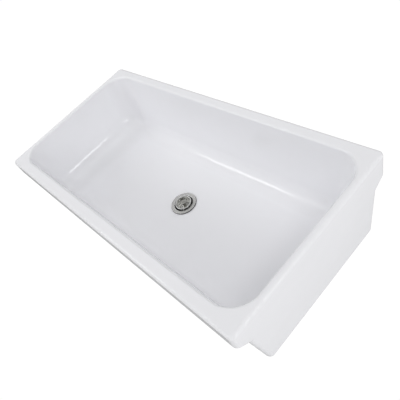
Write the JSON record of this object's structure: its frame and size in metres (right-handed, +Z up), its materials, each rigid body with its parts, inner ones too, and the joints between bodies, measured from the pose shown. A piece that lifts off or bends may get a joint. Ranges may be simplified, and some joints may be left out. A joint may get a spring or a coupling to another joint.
{
  "type": "trough sink",
  "caption": "Rectangular glazed ceramic trough sink with a lip along front and back, a deep bowl, and a lift-out basket strainer over a tailpiece.",
  "frame": {"origin": "on the drain's axis, in the plane of the basin's flat base, which stands on its support", "axes": "+X along the wall, towards the end that is at the right of the picture; +Y from the front lip back to the wall; +Z up"},
  "size_m": [0.914, 0.464, 0.3454],
  "materials": {
    "glaze": "glossy white glaze",
    "steel": "bright drawn stainless steel",
    "brass": "raw cast and drawn brass",
    "zinc": "dull die-cast zinc",
    "rubber": "matt black rubber",
    "fibre": "pressed fibre board",
    "nylon": "natural nylon"
  },
  "bodies": {
    "sink": {"basin": "glaze", "flange_gasket": "rubber", "strainer_body": "steel", "rubber_washer": "rubber", "fibre_washer": "fibre", "locknut": "zinc", "crossbar_outlet": "brass", "tailpiece_washer": "nylon", "tailpiece": "brass", "coupling_nut": "brass"},
    "sleeve": {"spring_sleeve": "steel"},
    "basket": {"basket_post": "steel", "basket_cup": "steel", "stopper_plate": "steel", "stopper_seal": "rubber", "stopper_nut": "brass", "basket_knob": "steel"}
  },
  "joints": [
    {"name": "basket_lift", "type": "slide", "parent": "sink", "child": "sleeve", "axis": [0, 0, 1], "range_m": [-0.006, 0.24]},
    {"name": "basket_turn", "type": "hinge", "parent": "sleeve", "child": "basket", "pos_m": [0, 0, 0], "axis": [0, 0, 1], "continuous": true}
  ]
}
